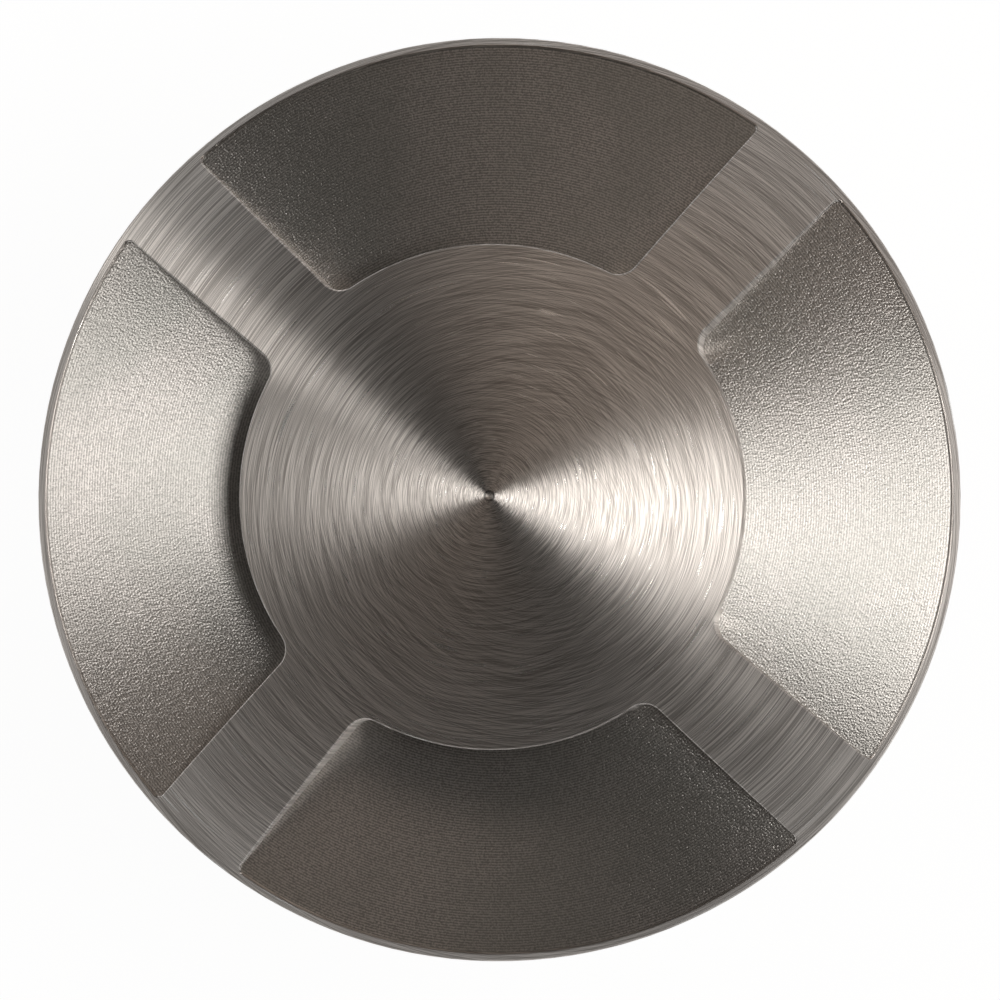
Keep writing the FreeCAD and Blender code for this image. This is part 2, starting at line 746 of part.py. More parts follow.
def sleeve():
    """The tube that stays in the ground, with keying grooves, cable notches and snap windows."""
    body = turned("sleeve", [
        ("sleeve_bore", "sleeve_bottom"),
        ("sleeve_radius", "sleeve_bottom"),
        ("sleeve_radius", "0"),
        ("flange_radius", "0"),
        ("flange_radius", "flange_thickness"),
        ("sleeve_bore", "flange_thickness"),
    ])
    top = "-keying_groove_drop"
    groove = ring_groove(body, "sleeve_radius", "sleeve_radius - keying_groove_depth",
                         f"{top} - keying_groove_width", top)
    linear(body, [groove], "keying_groove_pitch", "keying_groove_count")

    notch = new_sketch(body, "CableNotch")
    half = "cable_notch_width / 2"
    shoulder = f"sleeve_bottom + cable_notch_height - {half}"
    outline(notch, [
        (f"-{half}", "sleeve_bottom"),
        (half, "sleeve_bottom"),
        (half, shoulder),
        (f"-{half}", shoulder),
    ], arcs={2: ("0", shoulder, False)})
    pocket(body, notch, f"2 * (sleeve_radius + {OVERCUT})", both_ways=True)

    window = new_sketch(body, "SnapWindow", "YZ_Plane", f"sleeve_radius + {OVERCUT}")
    rectangle(window, "-snap_width / 2", "snap_width / 2",
              "snap_underside", "snap_underside + snap_height")
    cut = pocket(body, window, f"sleeve_wall + 2 * {OVERCUT}")
    polar(body, [cut], "snap_count")
    for level in ("0", "flange_thickness"):
        round_edges(body, ring_edge_at("flange_radius", level), "flange_edge_radius")
    return body


def sleeve_base():
    """The cap that closes the sleeve, with a cable hole, drain holes and snap tabs."""
    body = turned("sleeve_base", [
        ("base_cable_hole_diameter / 2", "base_underside"),
        ("sleeve_radius", "base_underside"),
        ("sleeve_radius", "sleeve_bottom"),
        ("base_spigot_outer", "sleeve_bottom"),
        ("base_spigot_outer", "sleeve_bottom + base_spigot_height"),
        ("base_spigot_inner", "sleeve_bottom + base_spigot_height"),
        ("base_spigot_inner", "sleeve_bottom"),
        ("base_cable_hole_diameter / 2", "sleeve_bottom"),
    ])
    notch = new_sketch(body, "SpigotNotch")
    rectangle(notch, "-cable_notch_width / 2", "cable_notch_width / 2", "sleeve_bottom",
              f"sleeve_bottom + base_spigot_height + {OVERCUT}")
    pocket(body, notch, f"2 * (sleeve_radius + {OVERCUT})", both_ways=True)
    round_holes(body, "drain_hole_diameter / 2", "drain_circle_radius", "sleeve_bottom",
                "base_thickness", "drain_hole_count")
    tab = new_sketch(body, "SnapTab", "YZ_Plane", "base_spigot_outer - base_spigot_wall / 2")
    rectangle(tab, "-snap_width / 2 + snap_clearance", "snap_width / 2 - snap_clearance",
              "snap_underside + snap_clearance", "snap_underside + snap_height - snap_clearance")
    snap = pad(body, tab, "base_spigot_wall / 2 + snap_proud")
    polar(body, [snap], "snap_count")
    round_edges(body, ring_edge_at("sleeve_radius", "base_underside"), "base_edge_radius")
    return body


def rim_gasket():
    return ring("rim_gasket", "sleeve_bore + rim_gasket_bore_margin",
                "flange_radius - rim_gasket_inset", "flange_thickness", "rim_underside")


# Housing and its seals

def housing():
    """A turned tube with a neck for the face, a web under the lens, and grooves outside."""
    body = turned("housing", [
        ("web_bore", "web_underside"),
        ("cavity", "web_underside"),
        ("cavity", "housing_bottom"),
        ("housing_outer", "housing_bottom"),
        ("housing_outer", "shoulder"),
        ("neck_outer", "shoulder"),
        ("neck_outer", "neck_top"),
        ("neck_bore", "neck_top"),
        ("neck_bore", "web_top"),
        ("web_bore", "web_top"),
    ])
    o_ring_groove(body, "neck_outer", "face_ring_outer", "face_ring_section", "face_ring_level")
    for level in ("upper_grip_level", "lower_grip_level"):
        o_ring_groove(body, "housing_outer", "grip_ring_outer", "grip_ring_section", level)
    groove = ring_groove(body, "housing_outer", "housing_outer - cooling_groove_depth",
                         "cooling_top - cooling_groove_width", "cooling_top")
    linear(body, [groove], "cooling_groove_pitch", "cooling_groove_count")
    round_holes(body, "small_hole", "carrier_screw_circle", "web_underside",
                "carrier_screw_bite + tapped_hole_spare", SCREWS_IN_RING, upward=True)
    round_holes(body, "small_hole", "cap_screw_circle", "housing_bottom",
                "cap_screw_bite + tapped_hole_spare", SCREWS_IN_RING, upward=True)
    round_edges(body, ring_edge_at("neck_outer", "neck_top"), "housing_edge_radius")
    round_edges(body, ring_edge_at("housing_outer", "shoulder"), "housing_edge_radius")
    return body


def grip_o_rings():
    """Two rings that hold the light in its sleeve by friction."""
    body = new_body("grip_o_rings")
    sketch = new_sketch(body, "Section")
    for level in ("upper_grip_level", "lower_grip_level"):
        circle(sketch, "grip_ring_section / 2", "grip_ring_outer - grip_ring_section / 2", level)
    revolve(body, sketch)
    return body


def face_o_ring():
    return o_ring("face_o_ring", "face_ring_outer", "face_ring_section", "face_ring_level")


# Lens and reflector

def lens():
    """A clear cup that stands up inside the windows, with a clamping flange."""
    body = turned("lens", [
        ("0", "lens_ceiling"),
        ("lens_inner_radius", "lens_ceiling"),
        ("lens_inner_radius", "lens_flange_underside"),
        ("lens_flange_radius", "lens_flange_underside"),
        ("lens_flange_radius", "lens_flange_top"),
        ("lens_cup_radius", "lens_flange_top"),
        ("lens_cup_radius", "lens_top"),
        ("0", "lens_top"),
    ])
    round_edges(body, ring_edge_at("lens_cup_radius", "lens_top"), "lens_edge_radius")
    return body


def lens_gasket():
    return ring("lens_gasket", "web_bore", "lens_flange_radius", "web_top", "lens_flange_underside")


def lens_ring():
    """The threaded ring that clamps the lens, with slots for a pin spanner."""
    body = ring("lens_ring", "lens_bore", "neck_bore - lens_ring_clearance",
                "lens_flange_top", "neck_top")
    slot = new_sketch(body, "SpannerSlot", "XY_Plane", "neck_top")
    rectangle(slot, f"lens_bore - {OVERCUT}", f"neck_bore + {OVERCUT}",
              "-spanner_slot_width / 2", "spanner_slot_width / 2")
    cut = pocket(body, slot, "spanner_slot_depth")
    polar(body, [cut], "spanner_slot_count")
    return body


def reflector_cone():
    """A polished cone, point down over the LED, fixed under the lens roof."""
    return turned("reflector_cone", [
        ("0", "cone_tip"),
        ("cone_base_radius", "lens_ceiling"),
        ("0", "lens_ceiling"),
    ])


# LED and its carrier

def led_carrier():
    """The metal disc that takes the LED's heat to the housing."""
    body = ring("led_carrier", "0", "carrier_radius", "carrier_underside", "web_underside")
    round_holes(body, "small_hole", "carrier_screw_circle", "web_underside",
                "carrier_thickness", SCREWS_IN_RING)
    round_holes(body, "small_hole", "led_notch_circle", "web_underside",
                "led_screw_bite + tapped_hole_spare", SCREWS_IN_RING)
    round_holes(body, "small_hole", "-standoff_circle", "carrier_underside",
                "standoff_stud_length + tapped_hole_spare", SCREWS_IN_RING, upward=True)
    leads = new_sketch(body, "LeadHoles", "XY_Plane", "web_underside")
    for side in ("-", ""):
        circle(leads, "lead_hole", f"{side}lead_spacing / 2", "-lead_distance")
    pocket(body, leads, "carrier_thickness")
    return body


def thermal_pad():
    body = ring("thermal_pad", "0", "led_board_radius", "web_underside", "led_board_underside")
    round_holes(body, "led_board_notch_diameter / 2", "led_notch_circle", "led_board_underside",
                "thermal_pad_thickness", LED_BOARD_NOTCHES)
    return body


def led_board():
    """A round metal board with notches for its screws."""
    body = ring("led_board", "0", "led_board_radius", "led_board_underside", "led_board_top")
    round_holes(body, "led_board_notch_diameter / 2", "led_notch_circle", "led_board_top",
                "led_board_thickness", LED_BOARD_NOTCHES)
    return body


def led_base():
    body = new_body("led_base")
    sketch = new_sketch(body, "Plan", "XY_Plane", "led_board_top")
    half = "led_base_width / 2"
    rectangle(sketch, f"-{half}", half, f"-{half}", half)
    pad(body, sketch, "led_base_height")
    return body


def led_dome():
    body = new_body("led_dome")
    sketch = new_sketch(body, "Section")
    outline(sketch, [
        ("0", "led_base_top"),
        ("led_dome_diameter / 2", "led_base_top"),
        ("0", "led_dome_top"),
    ], arcs={1: ("0", "led_base_top", False)})
    revolve(body, sketch)
    return body


def carrier_screws():
    return small_screws("carrier_screws", "carrier_screw_circle", "carrier_underside",
                        "carrier_thickness + carrier_screw_bite")


def led_board_screws():
    return small_screws("led_board_screws", "led_notch_circle", "led_board_top",
                        "led_board_thickness + thermal_pad_thickness + led_screw_bite", head_below=False)


# Driver

def driver_board():
    body = ring("driver_board", "0", "driver_board_radius", "driver_board_underside", "driver_board_top")
    round_holes(body, "small_hole", "-standoff_circle", "driver_board_top",
                "driver_board_thickness", SCREWS_IN_RING)
    return body


def driver_standoffs():
    """Hexagonal pillars, studded into the carrier and tapped below for the board's screws."""
    body = new_body("driver_standoffs")
    plan = new_sketch(body, "Pillar", "XY_Plane", "driver_board_top")
    hexagon(plan, "standoff_width", "-standoff_circle")
    pillar = pad(body, plan, "standoff_length")
    top = new_sketch(body, "Stud", "XY_Plane", "carrier_underside")
    circle(top, "small_shank", "-standoff_circle")
    stud = pad(body, top, "standoff_stud_length")
    bottom = new_sketch(body, "TappedHole", "XY_Plane", "driver_board_top")
    circle(bottom, "small_hole", "-standoff_circle")
    hole = pocket(body, bottom, "driver_screw_bite + tapped_hole_spare", upward=True)
    polar(body, [pillar, stud, hole], SCREWS_IN_RING)
    return body


def driver_screws():
    return small_screws("driver_screws", "-standoff_circle", "driver_board_underside",
                        "driver_board_thickness + driver_screw_bite")


def driver_inductor():
    """A square shielded coil on top of the board."""
    body = new_body("driver_inductor")
    plan = new_sketch(body, "Plan", "XY_Plane", "driver_board_top")
    half = "inductor_width / 2"
    rectangle(plan, f"-{half}", half, f"-{half}", half)
    pad(body, plan, "inductor_height")
    round_edges(body, upright_edge_at("inductor_width / sqrt(2)"), "inductor_corner_radius")
    return body


def driver_capacitors():
    """Two electrolytic cans side by side under the board, across from the terminal block."""
    body = new_body("driver_capacitors")
    plan = new_sketch(body, "Plan", "XY_Plane", "driver_board_underside - capacitor_height")
    for side in ("-", ""):
        circle(plan, "capacitor_diameter / 2", "-capacitor_distance", f"{side}capacitor_spacing / 2")
    pad(body, plan, "capacitor_height")
    return body


def driver_chips():
    """Two packages on top of the board, beside the coil."""
    body = new_body("driver_chips")
    plan = new_sketch(body, "Plan", "XY_Plane", "driver_board_top")
    low = "inductor_width / 2 + chip_depth / 2"
    for centre in ("-chip_spacing / 2", "chip_spacing / 2"):
        rectangle(plan, low, f"{low} + chip_depth",
                  f"{centre} - chip_width / 2", f"{centre} + chip_width / 2")
    pad(body, plan, "chip_height")
    return body


def driver_resistors():
    """A row of chip resistors across the middle of the board's underside."""
    body = new_body("driver_resistors")
    plan = new_sketch(body, "Plan", "XY_Plane", "driver_board_underside - resistor_height")
    for place in range(RESISTORS):
        centre = f"({place} - {RESISTORS - 1} / 2) * resistor_spacing"
        rectangle(plan, "-resistor_length / 2", "resistor_length / 2",
                  f"{centre} - resistor_width / 2", f"{centre} + resistor_width / 2")
    pad(body, plan, "resistor_height")
    return body


def terminal_block():
    """A two-way block under the board: wires enter from the axis, screws are reached from below."""
    body = new_body("terminal_block")
    plan = new_sketch(body, "Plan", "XY_Plane", "terminal_underside")
    rectangle(plan, "terminal_distance - terminal_depth / 2", "terminal_distance + terminal_depth / 2",
              "-terminal_width / 2", "terminal_width / 2")
    pad(body, plan, "terminal_height")
    wells = new_sketch(body, "ScrewWells", "XY_Plane", "terminal_underside")
    entries = new_sketch(body, "WireEntries", "YZ_Plane", "terminal_distance - terminal_depth / 2")
    for side in ("-", ""):
        circle(wells, "terminal_screw_diameter / 2 + small_screw_clearance", "terminal_distance",
               f"{side}terminal_pitch / 2")
        circle(entries, "terminal_entry_diameter / 2", f"{side}terminal_pitch / 2",
               "terminal_underside + terminal_height / 2")
    pocket(body, wells, "terminal_screw_height", upward=True)
    pocket(body, entries, "terminal_depth / 2", upward=True)
    return body


def terminal_screws():
    body = new_body("terminal_screws")
    plan = new_sketch(body, "Plan", "XY_Plane", "terminal_underside")
    slots = new_sketch(body, "Slots", "XY_Plane", "terminal_underside")
    for side in ("-", ""):
        centre = f"{side}terminal_pitch / 2"
        circle(plan, "terminal_screw_diameter / 2", "terminal_distance", centre)
        rectangle(slots, "terminal_distance - terminal_screw_diameter",
                  "terminal_distance + terminal_screw_diameter",
                  f"{centre} - terminal_slot_width / 2", f"{centre} + terminal_slot_width / 2")
    pad(body, plan, "terminal_screw_height")
    pocket(body, slots, "terminal_slot_depth", upward=True)
    return body


def lead(label, side):
    """A wire from the driver board, up through the carrier and over to the LED board's pad."""
    body = new_body(label)
    x_text = f"{side} * lead_spacing / 2"
    end = new_sketch(body, "WireSection", "XY_Plane", "driver_board_top")
    circle(end, "lead_radius", x_text, "-lead_distance")
    route = new_sketch(body, "Route", "YZ_Plane", x_text)
    low = FreeCAD.Vector(number("-lead_distance"), number("driver_board_top"), 0)
    bend_start = FreeCAD.Vector(low.x, number("lead_level - lead_bend_radius"), 0)
    bend_end = FreeCAD.Vector(number("-lead_distance + lead_bend_radius"), number("lead_level"), 0)
    centre = FreeCAD.Vector(bend_end.x, bend_start.y, 0)
    last = FreeCAD.Vector(number("-lead_end_distance"), bend_end.y, 0)
    route.addGeometry(Part.LineSegment(low, bend_start), False)
    route.addGeometry(arc_between(bend_start, bend_end, centre, True), False)
    route.addGeometry(Part.LineSegment(bend_end, last), False)
    route.addConstraint(Sketcher.Constraint("Tangent", 0, 2, 1, 2))
    route.addConstraint(Sketcher.Constraint("Tangent", 1, 1, 2, 1))
    route.addConstraint(Sketcher.Constraint("Vertical", 0))
    route.addConstraint(Sketcher.Constraint("Horizontal", 2))
    place_point(route, 0, 1, "-lead_distance", "driver_board_top")
    place_point(route, 2, 2, "-lead_end_distance", "lead_level")
    bind(route, "Radius", (1,), "bend", "lead_bend_radius")
    pipe = body.newObject("PartDesign::AdditivePipe", "Pipe")
    pipe.Profile = end
    pipe.Spine = (route, ["Edge1", "Edge2", "Edge3"])
    doc.recompute()
    return body


def lead_red():
    return lead("lead_red", "1")


def lead_black():
    return lead("lead_black", "-1")


# End cap

def end_cap():
    """The disc that closes the housing, with a sealed spigot and the gland's hole."""
    body = turned("end_cap", [
        ("gland_hole", "cap_underside"),
        ("housing_outer", "cap_underside"),
        ("housing_outer", "housing_bottom"),
        ("cap_spigot_outer", "housing_bottom"),
        ("cap_spigot_outer", "cap_spigot_top"),
        ("cap_spigot_inner", "cap_spigot_top"),
        ("cap_spigot_inner", "housing_bottom"),
        ("gland_hole", "housing_bottom"),
    ])
    o_ring_groove(body, "cap_spigot_outer", "cap_ring_outer", "cap_ring_section", "cap_ring_level")
    round_holes(body, "small_hole", "cap_screw_circle", "housing_bottom", "cap_thickness", SCREWS_IN_RING)
    round_holes(body, "small_counterbore", "cap_screw_circle", "cap_underside",
                "small_head_height + cap_head_cover", SCREWS_IN_RING, upward=True)
    round_edges(body, ring_edge_at("housing_outer", "cap_underside"), "cap_edge_radius")
    return body


def end_cap_o_ring():
    return o_ring("end_cap_o_ring", "cap_ring_outer", "cap_ring_section", "cap_ring_level")


def end_cap_screws():
    bearing = "cap_screw_head_level + small_head_height"
    return small_screws("end_cap_screws", "cap_screw_circle", bearing,
                        f"housing_bottom - ({bearing}) + cap_screw_bite")


# Cable gland

def gland_washer():
    return ring("gland_washer", "gland_hole", "gland_width / sqrt(3) - gland_washer_inset",
                "washer_underside", "cap_underside")


def gland_body():
    """A threaded stem through the cap, a hexagonal collar and a threaded barrel with a wide mouth."""
    body = turned("gland_body", [
        ("gland_bore", "mouth_floor"),
        ("mouth", "mouth_floor"),
        ("mouth", "barrel_end"),
        ("barrel", "barrel_end"),
        ("barrel", "washer_underside"),
        ("gland_thread", "washer_underside"),
        ("gland_thread", "lock_nut_top + gland_thread_spare"),
        ("gland_bore", "lock_nut_top + gland_thread_spare"),
    ])
    collar = new_sketch(body, "Collar", "XY_Plane", "collar_underside")
    hexagon(collar, "gland_width")
    circle(collar, "gland_bore")
    pad(body, collar, "gland_collar_height")
    return body


def gland_lock_nut():
    body = new_body("gland_lock_nut")
    plan = new_sketch(body, "Plan", "XY_Plane", "housing_bottom")
    hexagon(plan, "lock_nut_width")
    circle(plan, "gland_hole")
    pad(body, plan, "lock_nut_thickness")
    return body


def gland_claw():
    """A split sleeve whose fingers the cap nut closes on the seal."""
    body = turned("gland_claw", [
        ("claw_inner", "claw_end"),
        ("claw_outer", "claw_end"),
        ("claw_outer", "claw_collar_underside"),
        ("barrel", "claw_collar_underside"),
        ("barrel", "barrel_end"),
        ("claw_outer", "barrel_end"),
        ("claw_outer", "mouth_floor"),
        ("claw_inner", "mouth_floor"),
    ])
    slot = new_sketch(body, "Slot", "XY_Plane", "claw_end")
    rectangle(slot, f"claw_inner - {OVERCUT}", f"claw_outer + {OVERCUT}",
              "-claw_slot_width / 2", "claw_slot_width / 2")
    cut = pocket(body, slot, "claw_finger_length", upward=True)
    polar(body, [cut], "claw_finger_count")
    return body


def gland_seal():
    return ring("gland_seal", "seal_bore", "seal_outer", "claw_end + seal_end_inset", "mouth_floor")


def gland_nut():
    """The domed cap nut that closes the gland on its cable."""
    body = new_body("gland_nut")
    plan = new_sketch(body, "Plan", "XY_Plane", "nut_ceiling")
    hexagon(plan, "gland_width")
    circle(plan, "nut_bore")
    pad(body, plan, "nut_top - nut_ceiling")
    end = new_sketch(body, "End")
    outline(end, [
        ("nut_mouth_diameter / 2", "nut_end"),
        ("gland_width / 2 - nut_end_taper", "nut_end"),
        ("gland_width / 2", "nut_ceiling"),
        ("nut_mouth_diameter / 2", "nut_ceiling"),
    ])
    revolve(body, end)
    return body


def check_all():
    """Stop on any failed object, and on any sub-part without a sound shape."""
    for item in doc.Objects:
        if "Invalid" in item.State or "Error" in item.State:
            raise RuntimeError(f"{item.Label}: {item.State}")
    for item in sub_parts:
        if item.Shape.isNull() or not item.Shape.isValid():
            raise RuntimeError(f"{item.Label} has no sound shape")


def main():
    fill_sizes()
    for make in (
        sleeve, sleeve_base, rim_gasket,
        face_cover, face_grub_screws,
        housing, grip_o_rings, face_o_ring,
        lens, lens_gasket, lens_ring, reflector_cone,
        led_carrier, carrier_screws, thermal_pad, led_board, led_board_screws, led_base, led_dome,
        driver_board, driver_standoffs, driver_screws, driver_inductor, driver_capacitors,
        driver_chips, driver_resistors, terminal_block, terminal_screws, lead_red, lead_black,
        end_cap, end_cap_o_ring, end_cap_screws,
        gland_washer, gland_body, gland_lock_nut, gland_claw, gland_seal, gland_nut,
    ):
        make()
    doc.recompute()
    check_all()
    os.makedirs("parts", exist_ok=True)
    for item in sub_parts:
        item.Shape.exportStep(f"parts/{item.Label}.step")
        box = item.Shape.BoundBox
        print(f"{item.Label}: {len(item.Shape.Solids)} solids, {item.Shape.Volume:.1f} mm3,"
              f" z {box.ZMin:.2f} to {box.ZMax:.2f}, x {box.XMin:.2f} to {box.XMax:.2f}")


main()
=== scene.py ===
# %% [markdown]
# # A small in-ground light, dressed around its working model
#
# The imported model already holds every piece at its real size. This lesson loads it as a fixed
# frame and gives each piece the surface that it has on the real fitting: turned and blasted
# stainless steel on top, black anodised aluminium, moulded plastic, rubber, glass and the small
# electrical parts inside. Nothing here moves or resizes a piece.

# %% Load the frame
import math

import bmesh
import bpy
from mathutils import Matrix, Vector


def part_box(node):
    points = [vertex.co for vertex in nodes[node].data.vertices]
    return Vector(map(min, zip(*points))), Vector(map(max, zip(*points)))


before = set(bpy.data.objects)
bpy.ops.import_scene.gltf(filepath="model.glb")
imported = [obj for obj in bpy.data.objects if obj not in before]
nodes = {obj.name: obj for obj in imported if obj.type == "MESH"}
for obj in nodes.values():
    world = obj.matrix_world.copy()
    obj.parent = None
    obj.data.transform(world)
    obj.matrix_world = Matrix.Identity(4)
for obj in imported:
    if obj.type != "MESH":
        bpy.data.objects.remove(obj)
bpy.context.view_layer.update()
MM = 0.001

# %% [markdown]
# ## The sizes that the looks depend on
#
# The patterns have to know where the dome ends and the window floors begin. Reading these levels
# from the boxes of the loaded pieces keeps the looks tied to the model: if a size changes there,
# the finish follows.

# %% Levels and radii, in millimetres
def level(node, corner, axis):
    """One coordinate of a piece's box, in millimetres; corner 0 is the lowest, 1 the highest."""
    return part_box(node)[corner][axis] / MM


FACE_RADIUS = level("face_cover", 1, 0)
DOME_TOP = level("face_cover", 1, 2)
RIM_UNDERSIDE = level("rim_gasket", 1, 2)
FLOOR_LEVEL = level("sleeve_base", 0, 2)
print(f"face radius {FACE_RADIUS:.1f} mm, dome top {DOME_TOP:.2f} mm, ground piece {FLOOR_LEVEL:.1f} mm")

# %% [markdown]
# ## Shader maths that reads like maths
#
# A turned surface is a formula: how far a point is from the axis decides which tool mark it lies
# on. Written as separate Math nodes, such a formula can't be read back. The class below wraps one
# output socket and overloads the operators, so that `1 - mask * depth` adds its own Math nodes.
# Every other node comes from `Finish.node`, which sets the node's settings first and then fills or
# links its sockets. An output node has no output to give back, so `Finish.output` adds it.

# %% A socket that can be used in expressions
class Value:
    """One output of a node in a finish, for use in expressions."""

    def __init__(self, finish, socket):
        self.finish = finish
        self.socket = socket

    def maths(self, operation, *others):
        return self.finish.node("Math", {"operation": operation}, dict(enumerate((self, *others))))

    def __add__(self, other):
        return self.maths("ADD", other)

    def __sub__(self, other):
        return self.maths("SUBTRACT", other)

    def __rsub__(self, other):
        return self.finish.node("Math", {"operation": "SUBTRACT"}, {0: other, 1: self})

    def __mul__(self, other):
        return self.maths("MULTIPLY", other)

    def __truediv__(self, other):
        return self.maths("DIVIDE", other)

    __radd__ = __add__
    __rmul__ = __mul__

    def sqrt(self):
        return self.maths("SQRT")

    def most(self, other):
        return self.maths("MAXIMUM", other)

    def ramp(self, low, high):
        """0 below low, 1 above high and a smooth step between; low may be the larger one."""
        settings = {"interpolation_type": "SMOOTHSTEP"}
        return self.finish.node("MapRange", settings, {"Value": self, "From Min": low, "From Max": high})


# %% A material or world that is being built
MIX_FACTOR, MIX_FIRST, MIX_SECOND, MIX_RESULT = 0, 6, 7, 2      # the Mix node's sockets for colours


def rgba(colour):
    """Three numbers as the four that a colour socket takes; anything else stays as it is."""
    return (*colour, 1.0) if isinstance(colour, tuple) and len(colour) == 3 else colour


class Finish:
    """A node tree that is being built, with the calls that add nodes to it."""

    def __init__(self, owner):
        owner.use_nodes = True
        self.owner = owner
        self.tree = owner.node_tree
        self.tree.nodes.clear()

    def node(self, kind, settings=None, sockets=None, out=0):
        """Add a node, set it, fill or link its inputs, and give back one of its outputs."""
        made = self.tree.nodes.new("ShaderNode" + kind)
        for name, setting in (settings or {}).items():
            setattr(made, name, setting)
        for name, value in (sockets or {}).items():
            if isinstance(value, Value):
                self.tree.links.new(value.socket, made.inputs[name])
            else:
                made.inputs[name].default_value = value
        return Value(self, made.outputs[out])

    def place(self):
        """The point on the piece, in millimetres in the model's own frame."""
        here = self.node("TexCoord", out="Object")
        return self.node("VectorMath", {"operation": "SCALE"}, {0: here, "Scale": 1 / MM})

    def xyz(self, vector):
        return [self.node("SeparateXYZ", None, {0: vector}, out) for out in range(3)]

    def vector(self, x, y, z):
        return self.node("CombineXYZ", None, {0: x, 1: y, 2: z})

    def noise(self, vector, scale, detail=2.0, roughness=0.5):
        sockets = {"Vector": vector, "Scale": scale, "Detail": detail, "Roughness": roughness}
        return self.node("TexNoise", None, sockets)

    def mix(self, factor, first, second):
        """A colour between two colours; each is a Value or three numbers."""
        sockets = {MIX_FACTOR: factor, MIX_FIRST: rgba(first), MIX_SECOND: rgba(second)}
        return self.node("Mix", {"data_type": "RGBA"}, sockets, MIX_RESULT)

    def bump(self, height, strength, distance_mm):
        """A normal from a height of 0 to 1 that stands distance_mm high."""
        sockets = {"Height": height, "Strength": strength, "Distance": distance_mm * MM}
        return self.node("Bump", None, sockets)

    def principled(self, **sockets):
        """The main shader; socket names are written with _ for a space."""
        named = {name.replace("_", " "): rgba(value) for name, value in sockets.items()}
        return self.node("BsdfPrincipled", None, named)

    def output(self, shader, kind="OutputMaterial"):
        """End the tree in an output node and give back the material or world."""
        made = self.tree.nodes.new("ShaderNode" + kind)
        self.tree.links.new(shader.socket, made.inputs["Surface"])
        return self.owner


# %% [markdown]
# ## The camera: almost straight down, a little from the right
#
# In the photograph the dome's centre lies a few pixels to the left of the rim's centre. The dome
# stands 9.6 mm above the rim, so the camera leans about 3.7 degrees to the right. The arms show
# that the fitting is turned about 3 degrees as well. A long lens from 0.8 m keeps the rim round.

# %% Place the camera
PHOTO_SIZE = 1000               # pixels
RIM_CENTRE = (499.3, 499.6)     # pixels, measured on the photograph
RIM_RADIUS = 461.3              # pixels
LEAN = math.radians(3.7)
LEAN_TOWARDS = math.radians(-23.7)
TURN = math.radians(3.2)
CAMERA_DISTANCE = 800 * MM
SENSOR = 36.0                   # the sensor's width, as Blender writes it

view_width = PHOTO_SIZE / RIM_RADIUS * FACE_RADIUS * MM
rim_middle = Vector((0, 0, RIM_UNDERSIDE * MM))
to_camera = Vector((math.sin(LEAN) * math.cos(LEAN_TOWARDS), math.sin(LEAN) * math.sin(LEAN_TOWARDS),
                    math.cos(LEAN)))
across = Vector((math.cos(TURN), -math.sin(TURN), 0))
across = (across - across.dot(to_camera) * to_camera).normalized()
upwards = to_camera.cross(across)
pixel = view_width / PHOTO_SIZE
aim = (rim_middle + across * (PHOTO_SIZE / 2 - RIM_CENTRE[0]) * pixel
       - upwards * (PHOTO_SIZE / 2 - RIM_CENTRE[1]) * pixel)

camera_data = bpy.data.cameras.new("camera")
camera_data.sensor_width = SENSOR
camera_data.lens = SENSOR * CAMERA_DISTANCE / view_width
camera = bpy.data.objects.new("camera", camera_data)
facing = Matrix((across, upwards, to_camera)).transposed().to_4x4()
camera.matrix_world = Matrix.Translation(aim + to_camera * CAMERA_DISTANCE) @ facing
bpy.context.scene.collection.objects.link(camera)
bpy.context.scene.camera = camera
bpy.context.scene.view_settings.view_transform = "Standard"
print(f"lens {camera_data.lens:.0f} mm")

# %% [markdown]
# ## Two soft boxes
#
# Turned steel mirrors the room in a fan that stands across its tool marks. A single soft box, high
# up and a little to the right, therefore lights a bow tie: the right side and, more weakly on the
# sloping dome, the left side. The narrow dark shadows on the left of the hub and of the arms say the
# same. A second, narrow box stands low at the back left, where only the arm that slopes towards it
# mirrors it.

# %% Soft boxes
WARM_WHITE = (1.0, 0.965, 0.93)


def soft_box(name, azimuth, elevation, width, height, distance, radiance):
    """An oval lamp that looks at the fitting; sizes in metres, angles in degrees."""
    around, up = math.radians(azimuth), math.radians(elevation)
    towards = Vector((math.cos(around) * math.cos(up), math.sin(around) * math.cos(up), math.sin(up)))
    data = bpy.data.lights.new(name, "AREA")
    data.shape = "ELLIPSE"
    data.size = width
    data.size_y = height
    data.energy = radiance * math.pi * (math.pi / 4 * width * height)
    data.color = WARM_WHITE
    lamp = bpy.data.objects.new(name, data)
    facing = towards.to_track_quat("Z", "Y").to_matrix().to_4x4()
    lamp.matrix_world = Matrix.Translation(towards * distance) @ facing
    lamp.visible_camera = False
    bpy.context.scene.collection.objects.link(lamp)
    print(f"{name}: {data.energy:.2f} W from {distance} m")


soft_box("key_box", azimuth=-7, elevation=74.5, width=0.29, height=0.215, distance=1.0, radiance=11.6)
soft_box("arm_box", azimuth=144, elevation=33, width=0.10, height=0.17, distance=0.6, radiance=3.2)

# %% [markdown]
# ## A dim room
#
# Where bare steel doesn't mirror a lamp it mirrors the room, so the room sets its darker tones. A
# picture of a real room would do that too, but masks on a ray's direction are easier to set: white
# low down all round, a dim ceiling, and a warm patch high up at the back right. The camera itself
# sees plain white.

# %% The room
WHITE = (1.0, 1.0, 1.0)
DIM_CEILING = (0.042, 0.038, 0.035)
WARM_CEILING = (0.8, 0.66, 0.56)
WARM_TOWARDS = math.radians(57)

